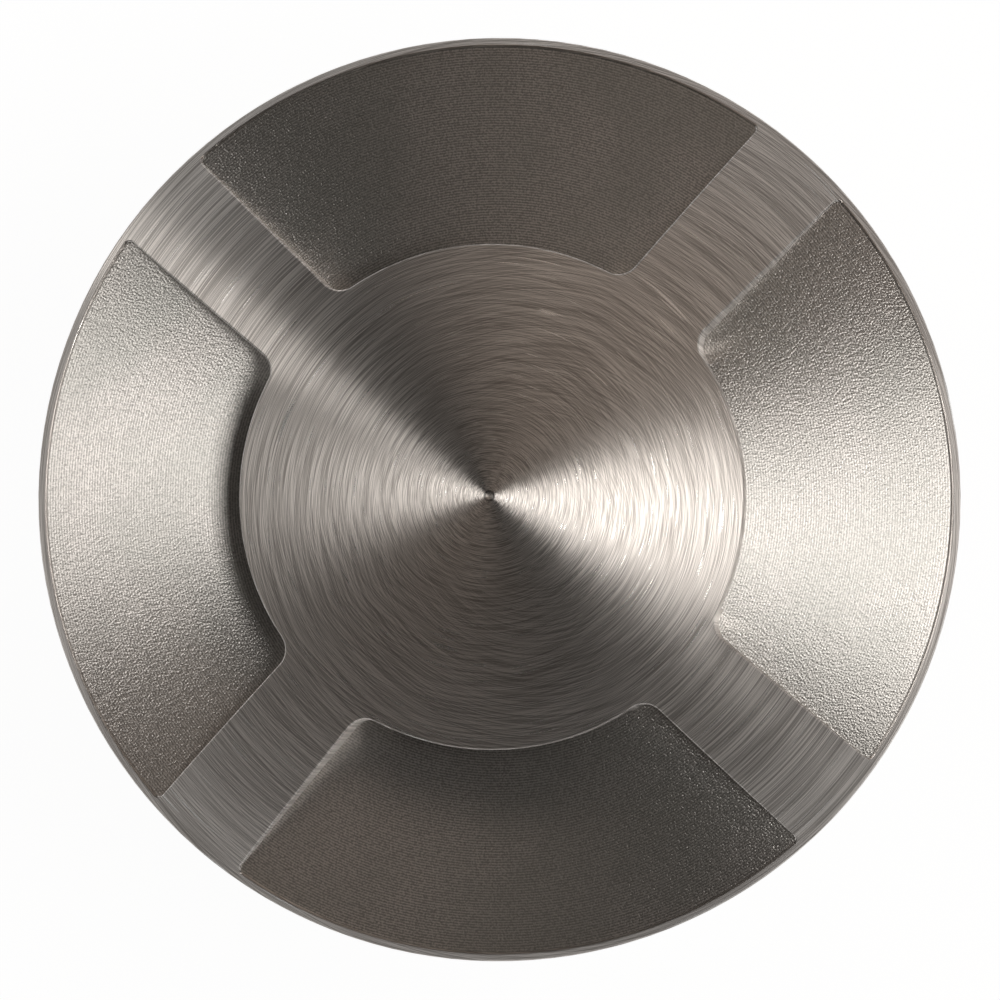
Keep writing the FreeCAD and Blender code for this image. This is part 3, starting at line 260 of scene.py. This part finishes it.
world = bpy.data.worlds.new("room")
bpy.context.scene.world = world
room = Finish(world)
eastward, northward, skyward = room.xyz(room.node("TexCoord"))      # the ray's direction
warm_side = eastward * math.cos(WARM_TOWARDS) + northward * math.sin(WARM_TOWARDS)
warm_patch = warm_side.ramp(0.2, 0.6) * skyward.ramp(0.6, 0.85)
ceiling = room.mix(warm_patch, DIM_CEILING, WARM_CEILING)
glow = room.mix(skyward.ramp(0.12, 0.3), WHITE, ceiling)
glow = room.mix(room.node("LightPath", out="Is Camera Ray"), glow, WHITE)
room.output(room.node("Background", None, {"Color": glow}), "OutputWorld")
print(f"{world.name}: {len(room.tree.nodes)} nodes")

# %% [markdown]
# ## A white floor
#
# The floor has to be white in the picture and still take the object's shadow. Bright paper alone
# would come out grey, and a glowing sheet would show no shadow. A mix of the two does both. Only
# rays from the camera, from a gloss or through the glass meet the mix; for all others the floor is
# matt paper, so it adds no light of its own. It is clear from below, so that a camera under it sees
# the underside of the fitting.

# %% The floor
FLOOR_REACH = 8.0               # metres from its middle to each side
FLOOR_GAP = 0.1                 # millimetres, so that the sleeve's base doesn't lie in the floor's plane
PAPER = (0.9, 0.9, 0.9)
WHITE_SHARE = 0.85              # how much of the floor's white doesn't depend on the light
WHITE_STRENGTH = 1.13           # lifts that share to paper white outside the shadow

floor_place = Matrix.Translation((0, 0, (FLOOR_LEVEL - FLOOR_GAP) * MM))
sheet = bmesh.new()
bmesh.ops.create_grid(sheet, x_segments=1, y_segments=1, size=FLOOR_REACH, matrix=floor_place)
floor_mesh = bpy.data.meshes.new("floor")
sheet.to_mesh(floor_mesh)
sheet.free()
floor = bpy.data.objects.new("floor", floor_mesh)
bpy.context.scene.collection.objects.link(floor)

paper = Finish(bpy.data.materials.new("paper"))
from_camera, from_gloss, through_glass = [
    paper.node("LightPath", out=f"Is {kind} Ray") for kind in ("Camera", "Glossy", "Transmission")]
seen = from_camera.most(from_gloss).most(through_glass)
lit = paper.node("BsdfDiffuse", None, {"Color": rgba(PAPER)})
white = paper.node("Emission", None, {"Color": rgba(WHITE), "Strength": WHITE_STRENGTH})
sheet_top = paper.node("MixShader", None, {0: seen * WHITE_SHARE, 1: lit, 2: white})
from_below = paper.node("NewGeometry", out="Backfacing")
clear = paper.node("BsdfTransparent")
whole_sheet = paper.node("MixShader", None, {0: from_below, 1: sheet_top, 2: clear})
floor_mesh.materials.append(paper.output(whole_sheet))
print(f"floor at {FLOOR_LEVEL - FLOOR_GAP:.1f} mm, {2 * FLOOR_REACH:.0f} m wide")

# %% [markdown]
# ## Turned marks
#
# A lathe tool and a brushing belt leave fine arcs round the axis. Noise makes such arcs if its
# third coordinate runs quickly with the radius and the other two run slowly with the direction.
# The direction goes in as a cosine and a sine, so the pattern closes on itself with no seam.

# %% Arcs of noise round an axis
LEAST_RADIUS = 0.01             # millimetres; the divisions below need a radius above zero


def around_axis(finish, centre=(0.0, 0.0)):
    """The radius and the direction's cosine and sine of a point, about an upright axis in millimetres."""
    x, y = finish.xyz(finish.place())[:2]
    x, y = x - centre[0], y - centre[1]
    radius = (x * x + y * y).sqrt().most(LEAST_RADIUS)
    return radius, x / radius, y / radius


def arcs(finish, polar, per_mm, per_turn, detail=2.0, roughness=0.55):
    """Noise in arcs: per_mm lines along the radius, broken up about per_turn times round the axis."""
    radius, cosine, sine = polar
    length = per_turn / (2 * math.pi)
    point = finish.vector(cosine * length, sine * length, radius * per_mm)
    return finish.noise(point, 1.0, detail, roughness)


# %% [markdown]
# ## Turned steel
#
# The real face is one piece of stainless steel. Its dome, arms and rim are turned and brushed, so
# they share fine arcs round the axis. Further out a second set of arcs crosses the first, from a
# brushing that went round a point a little off the axis. It fades out towards the middle, where its
# own centre would show as a whorl. Broad bands, a few bright scratches and a shallow groove round
# the centre mark come on top. The groove's dark colour is painted shade.

# %% Turned steel
SECOND_CENTRE = (2.6, -1.6)     # what the second brushing went round
SECOND_FROM = 3.0               # the radius where the second arcs begin to show
SECOND_FULL = 9.0               # the radius from which on they are as strong as they get
SECOND_SHARE = 0.4
CENTRE_RING = 0.3               # the radius of the groove round the centre mark
ACROSS_MARKS = 0.25             # a quarter turn, so that the sheen spreads across the marks
GROOVE_TONE = (0.36, 0.333, 0.31)
RIDGE_TONE = (0.88, 0.835, 0.793)
SCRATCH_TONE = (0.92, 0.91, 0.89)
# painted shade: the groove round the centre mark is drawn darker than the steel round it
PAINTED_GROOVE_SHADE = (0.1, 0.095, 0.09)


def turned_steel(finish, polar):
    """Dome, arms and rim: arcs in two tones, with broad bands and a few bright scratches."""
    radius = polar[0]
    fine = arcs(finish, polar, per_mm=23.0, per_turn=14, roughness=0.7)
    second_polar = around_axis(finish, SECOND_CENTRE)
    crossing = arcs(finish, second_polar, per_mm=15.0, per_turn=14, detail=1.0, roughness=0.6)
    marks = fine + (crossing - fine) * (radius.ramp(SECOND_FROM, SECOND_FULL) * SECOND_SHARE)
    bands = arcs(finish, polar, per_mm=1.6, per_turn=6)
    scratches = arcs(finish, polar, per_mm=9.0, per_turn=24, detail=0.0).ramp(0.74, 0.8)
    # the groove round the centre mark: the bump cuts it, and its colour is darkened as painted shade
    centre_groove_and_shade = (radius - CENTRE_RING).maths("ABSOLUTE").ramp(0.1, 0.04)
    tone = finish.mix(marks.ramp(0.38, 0.62), GROOVE_TONE, RIDGE_TONE)
    tone = finish.mix(scratches * 0.7, tone, SCRATCH_TONE)
    # painted shade in the groove round the centre mark
    tone = finish.mix(centre_groove_and_shade * 0.8, tone, PAINTED_GROOVE_SHADE)
    return finish.principled(
        Base_Color=tone, Roughness=0.28 + marks * 0.06 + bands * 0.04 - scratches * 0.08,
        Metallic=1.0, Anisotropic=1.0, Anisotropic_Rotation=ACROSS_MARKS,
        Normal=finish.bump(marks + bands * 0.3 - centre_groove_and_shade, strength=0.5, distance_mm=0.01))


# %% [markdown]
# ## Blasted steel
#
# The floors of the four windows were blasted after milling, which leaves a fine grain over faint
# tool marks. Noise gives the grain. A sine of the radius gives the tool marks, because they lie one
# step of the cutter apart. Slow noise adds faint stains.

# %% Blasted steel
FEED = 0.17                     # the cutter's step from one tool mark to the next
PIT_TONE = (0.48, 0.46, 0.44)
PEAK_TONE = (0.89, 0.855, 0.82)
STAIN_TONE = (0.48, 0.495, 0.46)


def blasted_steel(finish, radius):
    """Window floors: grain over feed lines, with faint stains."""
    grain = finish.noise(finish.place(), scale=7.5, detail=1.0, roughness=0.6)
    feed = (radius * (2 * math.pi / FEED)).maths("SINE") * 0.5 + 0.5
    stains = finish.noise(finish.place(), scale=0.12, detail=3.0).ramp(0.4, 0.65)
    tone = finish.mix((grain * 0.75 + feed * 0.25).ramp(0.35, 0.65), PIT_TONE, PEAK_TONE)
    tone = finish.mix(stains * 0.3, tone, STAIN_TONE)
    return finish.principled(
        Base_Color=tone, Roughness=0.26 + grain * 0.06,
        Metallic=0.92, Anisotropic=1.0, Anisotropic_Rotation=ACROSS_MARKS,
        Normal=finish.bump(grain + feed * 0.12, strength=0.5, distance_mm=0.019))


# %% [markdown]
# ## One material for the face
#
# Both surfaces belong to one piece, so they are two shaders of one material, mixed by a mask. What
# is low and inside the land, the narrow flat ring along the edge, is a window floor.

# %% The face's material
RIM_THICKNESS = 1.3             # from the rim's underside up to the window floors
LAND_WIDTH = 0.62
BLAST_GONE = 0.06               # above the window floors
BLAST_FULL = 0.03
LAND_GONE = 0.05                # outside the land's inner edge
LAND_FULL = 0.02

WINDOW_FLOOR = RIM_UNDERSIDE + RIM_THICKNESS
LAND_INNER = FACE_RADIUS - LAND_WIDTH
print(f"window floors at {WINDOW_FLOOR:.2f} mm, land from a radius of {LAND_INNER:.2f} mm")


def face_steel():
    finish = Finish(bpy.data.materials.new("face steel"))
    polar = around_axis(finish)
    radius, height = polar[0], finish.xyz(finish.place())[2]
    low = height.ramp(WINDOW_FLOOR + BLAST_GONE, WINDOW_FLOOR + BLAST_FULL)
    inside_land = radius.ramp(LAND_INNER + LAND_GONE, LAND_INNER + LAND_FULL)
    turned, blasted = turned_steel(finish, polar), blasted_steel(finish, radius)
    return finish.output(finish.node("MixShader", None, {0: low * inside_land, 1: turned, 2: blasted}))


def dress(material, *names):
    """Give loaded pieces their finish."""
    for name in names:
        nodes[name].data.materials[0] = material
    print(f"{material.name}: {', '.join(names)}")


dress(face_steel(), "face_cover")

# %% [markdown]
# ## Two recipes for the other metal parts
#
# The housing, the end cap and the rings come off a lathe too. Their marks run round the axis on
# flat faces and on cylinders alike, so radius plus height serves as the coordinate across the
# marks. Screws and standoffs are too small to show a direction: a fine even grain is enough.

# %% Turned and machined metal
def turned_metal(name, dark, light, rough, per_mm=4.0, groove_mm=0.01, **more):
    """Lathe marks round the fitting's axis in two tones."""
    finish = Finish(bpy.data.materials.new(name))
    radius, cosine, sine = around_axis(finish)
    height = finish.xyz(finish.place())[2]
    marks = arcs(finish, (radius + height, cosine, sine), per_mm, per_turn=7, detail=3.0)
    worn = finish.noise(finish.place(), scale=0.3, detail=3.0)
    return finish.output(finish.principled(
        Base_Color=finish.mix(marks.ramp(0.3, 0.7), dark, light),
        Roughness=rough + marks * 0.1 + worn * 0.08, Anisotropic_Rotation=ACROSS_MARKS,
        Normal=finish.bump(marks, strength=0.5, distance_mm=groove_mm), **more))


def machined_metal(name, dark, light, rough, **more):
    """A small bright part with a fine even grain."""
    finish = Finish(bpy.data.materials.new(name))
    grain = finish.noise(finish.place(), scale=6.0, detail=3.0)
    handled = finish.noise(finish.place(), scale=0.8, detail=2.0)
    return finish.output(finish.principled(
        Base_Color=finish.mix(grain.ramp(0.3, 0.7), dark, light), Roughness=rough + handled * 0.15,
        Metallic=1.0, Normal=finish.bump(grain, strength=0.3, distance_mm=0.01), **more))


# %% [markdown]
# ## Aluminium: anodised, turned and polished
#
# The housing and its end cap are dyed black while they are anodised. The layer keeps the lathe's
# marks but takes most of the shine away, so the metal is dark and half matt. The lens ring and the
# LED carrier stay bare, and the cone under the lens is polished, because it throws the light out
# through the four windows.

# %% Aluminium parts
def housing_anodised():
    return turned_metal("housing anodised", (0.018, 0.018, 0.019), (0.034, 0.034, 0.036), rough=0.34,
                        Metallic=0.75, Anisotropic=0.5)


def ring_aluminium():
    return turned_metal("ring aluminium", (0.62, 0.62, 0.63), (0.8, 0.8, 0.81), rough=0.22,
                        Metallic=1.0, Anisotropic=0.6)


def cone_aluminium():
    return turned_metal("cone aluminium", (0.86, 0.86, 0.87), (0.92, 0.92, 0.92),
                        rough=0.03, per_mm=6.0, groove_mm=0.002,
                        Metallic=1.0, Anisotropic=0.3)


def carrier_aluminium():
    return turned_metal("carrier aluminium", (0.55, 0.56, 0.57), (0.74, 0.74, 0.75),
                        rough=0.3, per_mm=3.0, groove_mm=0.015,
                        Metallic=1.0, Anisotropic=0.5)


dress(housing_anodised(), "housing", "end_cap")
dress(ring_aluminium(), "lens_ring")
dress(cone_aluminium(), "reflector_cone")
dress(carrier_aluminium(), "led_carrier")

# %% [markdown]
# ## Screws, standoffs and the cable gland
#
# The screws are stainless, the standoffs are bare brass and the gland is brass with a nickel plate,
# which is warmer and softer in its shine than steel.

# %% Small metal parts
def screw_steel():
    return machined_metal("screw steel", (0.48, 0.47, 0.46), (0.66, 0.65, 0.63), rough=0.22)


def standoff_brass():
    return machined_metal("standoff brass", (0.62, 0.43, 0.17), (0.8, 0.6, 0.27), rough=0.2)


def gland_nickel():
    return machined_metal("gland nickel", (0.58, 0.55, 0.49), (0.68, 0.65, 0.58), rough=0.14)


dress(screw_steel(), "face_grub_screws", "carrier_screws", "led_board_screws", "driver_screws",
      "terminal_screws", "end_cap_screws")
dress(standoff_brass(), "driver_standoffs")
dress(gland_nickel(), "gland_body", "gland_lock_nut", "gland_nut")

# %% [markdown]
# ## One recipe for moulded parts
#
# Plastic and rubber vary in the same way: a slightly uneven colour, a fine grain from the mould and
# a gloss that differs a little from place to place. One function takes these as numbers. Where a
# part needs more, such as a coat, that goes straight to the main shader.

# %% Moulded parts
def moulded(name, dark, light, rough, grain_per_mm=2.5, grain_mm=0.02, **more):
    """Plastic, rubber or resin with a mottled colour and a fine grain."""
    finish = Finish(bpy.data.materials.new(name))
    mottle = finish.noise(finish.place(), scale=0.25, detail=3.0)
    grain = finish.noise(finish.place(), scale=grain_per_mm, detail=2.0)
    return finish.output(finish.principled(
        Base_Color=finish.mix(mottle.ramp(0.35, 0.65), dark, light), Roughness=rough + mottle * 0.12,
        Normal=finish.bump(grain, strength=0.5, distance_mm=grain_mm), **more))


# %% [markdown]
# ## The sleeve in the ground, gaskets and O-rings
#
# The sleeve is glass-filled nylon, matt black, with the slight sparkle that glass fibres leave. The
# flat gaskets are a dull cellular rubber. O-rings are denser and are greased, so they shine a little.

# %% Sleeve and seals
def sleeve_plastic():
    return moulded("sleeve plastic", (0.014, 0.014, 0.015), (0.024, 0.024, 0.025),
                   rough=0.52, grain_per_mm=2.5, grain_mm=0.035)


def gasket_rubber():
    return moulded("gasket rubber", (0.02, 0.02, 0.02), (0.036, 0.035, 0.034),
                   rough=0.74, grain_per_mm=3.5, grain_mm=0.05)


def o_ring_rubber():
    return moulded("o ring rubber", (0.01, 0.01, 0.01), (0.016, 0.016, 0.016),
                   rough=0.34, grain_per_mm=1.5, grain_mm=0.01)


dress(sleeve_plastic(), "sleeve", "sleeve_base")
dress(gasket_rubber(), "rim_gasket", "lens_gasket")
dress(o_ring_rubber(), "grip_o_rings", "face_o_ring", "end_cap_o_ring", "gland_seal")

# %% [markdown]
# ## The lens and the LED
#
# The lens is a thick glass cup with a faint green cast that shows at its rim. Under it sits the LED:
# a ceramic base with a drop of yellow phosphor under clear silicone, drawn here as one coated dome.

# %% Lens and LED
def lens_glass():
    finish = Finish(bpy.data.materials.new("lens glass"))
    wiped = finish.noise(finish.place(), scale=0.2, detail=2.0)
    return finish.output(finish.principled(
        Base_Color=(0.93, 0.97, 0.95), Roughness=0.01 + wiped * 0.03, Transmission_Weight=1.0, IOR=1.5))


def led_ceramic():
    return moulded("led ceramic", (0.72, 0.71, 0.68), (0.8, 0.79, 0.76),
                   rough=0.42, grain_per_mm=5.0, grain_mm=0.01)


def led_phosphor():
    return moulded("led phosphor", (0.72, 0.5, 0.05), (0.82, 0.62, 0.1),
                   rough=0.3, grain_per_mm=6.0, grain_mm=0.008,
                   Coat_Weight=1.0, Coat_Roughness=0.04)


def thermal_grey():
    return moulded("thermal grey", (0.2, 0.2, 0.21), (0.3, 0.3, 0.31),
                   rough=0.72, grain_per_mm=2.0, grain_mm=0.03)


dress(lens_glass(), "lens")
dress(led_ceramic(), "led_base")
dress(led_phosphor(), "led_dome")
dress(thermal_grey(), "thermal_pad")

# %% [markdown]
# ## Circuit boards with tracks under their mask
#
# A board is glass fibre with copper tracks under a thin coloured mask. The tracks show as slightly
# raised and lighter lines. Each square of a one-millimetre grid draws by lot whether its track runs
# along x or along y, which looks like routed copper without a list of tracks. The cut edge has no
# mask, so there the board is the yellow-brown of bare fibre.

# %% Circuit boards
TRACK_WIDTH = 0.3               # millimetres, in a grid of one millimetre
TRACK_FADE = 0.03               # how far a track's edge fades, to each side
BARE_FIBRE = (0.42, 0.36, 0.2)


def tracks(finish):
    """1 on a copper track and 0 between tracks."""
    x, y = finish.xyz(finish.place())[:2]
    square = finish.vector(x.maths("FLOOR"), y.maths("FLOOR"), 0.0)
    lot = finish.node("TexWhiteNoise", None, {"Vector": square}).maths("GREATER_THAN", 0.5)
    off_x, off_y = [(along.maths("FRACT") - 0.5).maths("ABSOLUTE") for along in (x, y)]
    off = off_x * lot + off_y * (1 - lot)
    return off.ramp(TRACK_WIDTH / 2 + TRACK_FADE, TRACK_WIDTH / 2 - TRACK_FADE)


def circuit_board(name, mask, over_copper, edge_radius):
    """A coloured mask over copper tracks, with bare fibre at the cut edge."""
    finish = Finish(bpy.data.materials.new(name))
    radius = around_axis(finish)[0]
    copper = tracks(finish)
    edge = radius.ramp(edge_radius - 0.05, edge_radius - 0.02)
    weave = finish.noise(finish.place(), scale=4.0, detail=1.0)
    colour = finish.mix(edge, finish.mix(copper, mask, over_copper), BARE_FIBRE)
    return finish.output(finish.principled(
        Base_Color=colour, Roughness=0.28 + weave * 0.08 + edge * 0.4,
        Normal=finish.bump(copper + weave * 0.1, strength=0.6, distance_mm=0.03)))


def board_green():
    return circuit_board("board green", (0.008, 0.11, 0.04), (0.02, 0.2, 0.075),
                         edge_radius=level("driver_board", 1, 0))


def board_white():
    return circuit_board("board white", (0.78, 0.78, 0.76), (0.84, 0.84, 0.82),
                         edge_radius=level("led_board", 1, 1))


dress(board_green(), "driver_board")
dress(board_white(), "led_board")

# %% [markdown]
# ## Parts on the driver board
#
# Capacitors wear a dark shrink sleeve with a pale stripe on the minus side, and bare aluminium at
# the end. Chip resistors are black between two tinned ends. Both are a colour mask from a plane or
# two through the part, taken from the loaded boxes.

# %% Capacitors and resistors
STRIPE_DEPTH = 0.7              # millimetres from the can's side
BARE_END = 0.25                 # millimetres of can that the shrink sleeve leaves free
SLEEVE_FADE = 0.05              # how far these two edges fade, to each side
TIN_FROM = 0.66                 # share of a resistor's half length where the tin begins
TIN_FULL = 0.72


def driver_capacitor_finish():
    finish = Finish(bpy.data.materials.new("capacitor sleeve"))
    x, _, z = finish.xyz(finish.place())
    stripe_at = level("driver_capacitors", 0, 0) + STRIPE_DEPTH
    bare_at = level("driver_capacitors", 0, 2) + BARE_END
    stripe = x.ramp(stripe_at + SLEEVE_FADE, stripe_at - SLEEVE_FADE)
    bare = z.ramp(bare_at + SLEEVE_FADE, bare_at - SLEEVE_FADE)
    sleeved = finish.mix(stripe * (1 - bare), (0.015, 0.02, 0.035), (0.5, 0.52, 0.55))
    return finish.output(finish.principled(
        Base_Color=finish.mix(bare, sleeved, (0.72, 0.72, 0.73)), Metallic=bare, Roughness=0.3 + bare * 0.1,
        Normal=finish.bump(finish.noise(finish.place(), scale=1.5), strength=0.4, distance_mm=0.01)))


def driver_resistor_finish():
    finish = Finish(bpy.data.materials.new("resistor black"))
    along = finish.xyz(finish.place())[0].maths("ABSOLUTE")
    half_length = level("driver_resistors", 1, 0)
    tinned = along.ramp(TIN_FROM * half_length, TIN_FULL * half_length)
    return finish.output(finish.principled(
        Base_Color=finish.mix(tinned, (0.012, 0.012, 0.013), (0.68, 0.68, 0.69)), Metallic=tinned,
        Roughness=0.35 + finish.noise(finish.place(), scale=5.0) * 0.15))


dress(driver_capacitor_finish(), "driver_capacitors")
dress(driver_resistor_finish(), "driver_resistors")

# %% [markdown]
# ## The rest of the driver board
#
# The coil's ferrite is a rough dark grey ceramic. The chips are black moulding compound, the
# terminal block is a smooth green plastic and the two leads have soft red and black jackets. All
# of them follow the recipe for moulded parts.

# %% Coil, chips, terminal block and leads
def ferrite():
    return moulded("inductor ferrite", (0.03, 0.03, 0.032), (0.055, 0.054, 0.053),
                   rough=0.55, grain_per_mm=4.0, grain_mm=0.04)


def chip_black():
    return moulded("chip black", (0.014, 0.014, 0.015), (0.02, 0.02, 0.021),
                   rough=0.42, grain_per_mm=8.0, grain_mm=0.02)


def terminal_green():
    return moulded("terminal green", (0.015, 0.2, 0.075), (0.02, 0.26, 0.1),
                   rough=0.32, grain_per_mm=2.0, grain_mm=0.01)


def wire_red():
    return moulded("wire red", (0.42, 0.014, 0.012), (0.52, 0.02, 0.016),
                   rough=0.34, grain_per_mm=2.0, grain_mm=0.01)


def wire_black():
    return moulded("wire black", (0.013, 0.013, 0.014), (0.02, 0.02, 0.021),
                   rough=0.34, grain_per_mm=2.0, grain_mm=0.01)


dress(ferrite(), "driver_inductor")
dress(chip_black(), "driver_chips")
dress(terminal_green(), "terminal_block")
dress(wire_red(), "lead_red")
dress(wire_black(), "lead_black")

# %% [markdown]
# ## Fibre washer and nylon claw
#
# The washer under the gland is vulcanised fibre, brick red with short darker fibres in its face.
# The claw that grips the cable is undyed nylon: milky, because light goes a little way into it.

# %% Gland washer and claw
def washer_fibre():
    finish = Finish(bpy.data.materials.new("washer fibre"))
    x, y, z = finish.xyz(finish.place())
    fibres = finish.noise(finish.vector(x * 0.6, y * 4.0, z), scale=1.0, detail=3.0)
    return finish.output(finish.principled(
        Base_Color=finish.mix(fibres.ramp(0.3, 0.7), (0.2, 0.03, 0.02), (0.34, 0.06, 0.04)),
        Roughness=0.7, Normal=finish.bump(fibres, strength=0.5, distance_mm=0.03)))


def claw_nylon():
    return moulded("claw nylon", (0.68, 0.66, 0.58), (0.76, 0.74, 0.67),
                   rough=0.4, grain_per_mm=1.5, grain_mm=0.01,
                   Subsurface_Weight=0.2, Subsurface_Scale=0.002)


dress(washer_fibre(), "gland_washer")
dress(claw_nylon(), "gland_claw")
